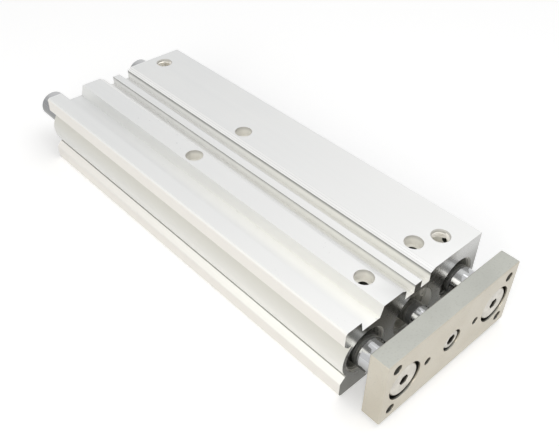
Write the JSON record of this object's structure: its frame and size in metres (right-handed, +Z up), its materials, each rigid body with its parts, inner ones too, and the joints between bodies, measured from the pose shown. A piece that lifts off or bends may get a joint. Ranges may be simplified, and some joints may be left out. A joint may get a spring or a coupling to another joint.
{
  "type": "guided pneumatic cylinder",
  "caption": "Compact pneumatic cylinder in a grooved aluminium body with a chromed piston rod and parallel guide rods that carry a flat steel end plate.",
  "frame": {"origin": "centre of the four mounting holes, on the underside of the body", "axes": "+X along the stroke, from the body to the plate; +Y across the body, towards the air ports; +Z up, away from the underside"},
  "size_m": [0.286, 0.093, 0.042],
  "materials": {
    "body_aluminium": "clear anodised extrusion, satin",
    "cover_aluminium": "turned aluminium, satin",
    "piston_aluminium": "turned aluminium, chromated",
    "plate_steel": "nickel-plated steel, satin",
    "rod_chrome": "ground and hard-chrome plated, mirror",
    "bolt_steel": "nickel-plated steel",
    "plug_steel": "zinc-plated steel",
    "ring_steel": "phosphated spring steel",
    "bush_bronze": "oil-filled sintered bronze",
    "seal_rubber": "nitrile rubber",
    "bumper_urethane": "cast urethane",
    "magnet_compound": "bonded magnet, matt",
    "wear_ring_resin": "filled resin, matt",
    "wiper_felt": "oiled wool felt"
  },
  "bodies": {
    "cylinder": {"body": "body_aluminium", "port_plug_front": "plug_steel", "port_plug_rear": "plug_steel", "rod_cover": "cover_aluminium", "rod_seal": "seal_rubber", "rod_cover_bush": "bush_bronze", "rod_cover_gasket": "seal_rubber", "rod_cover_ring": "ring_steel", "front_bumper": "bumper_urethane", "head_cover": "cover_aluminium", "head_cover_gasket": "seal_rubber", "head_cover_ring": "ring_steel", "rear_bumper": "bumper_urethane", "guide_bush_front_left": "bush_bronze", "guide_bush_inner_left": "bush_bronze", "felt_holder_left": "ring_steel", "felt_left": "wiper_felt", "felt_ring_left": "ring_steel", "guide_bush_front_right": "bush_bronze", "guide_bush_inner_right": "bush_bronze", "felt_holder_right": "ring_steel", "felt_right": "wiper_felt", "felt_ring_right": "ring_steel"},
    "carriage": {"plate": "plate_steel", "piston_rod": "rod_chrome", "piston": "piston_aluminium", "piston_seal": "seal_rubber", "piston_magnet": "magnet_compound", "piston_wear_ring": "wear_ring_resin", "piston_rod_bolt": "bolt_steel", "guide_rod_left": "rod_chrome", "guide_rod_bolt_left": "bolt_steel", "guide_rod_right": "rod_chrome", "guide_rod_bolt_right": "bolt_steel"}
  },
  "joints": [
    {"name": "stroke", "type": "slide", "parent": "cylinder", "child": "carriage", "axis": [1, 0, 0], "range_m": [-0.006, 0.194]}
  ]
}
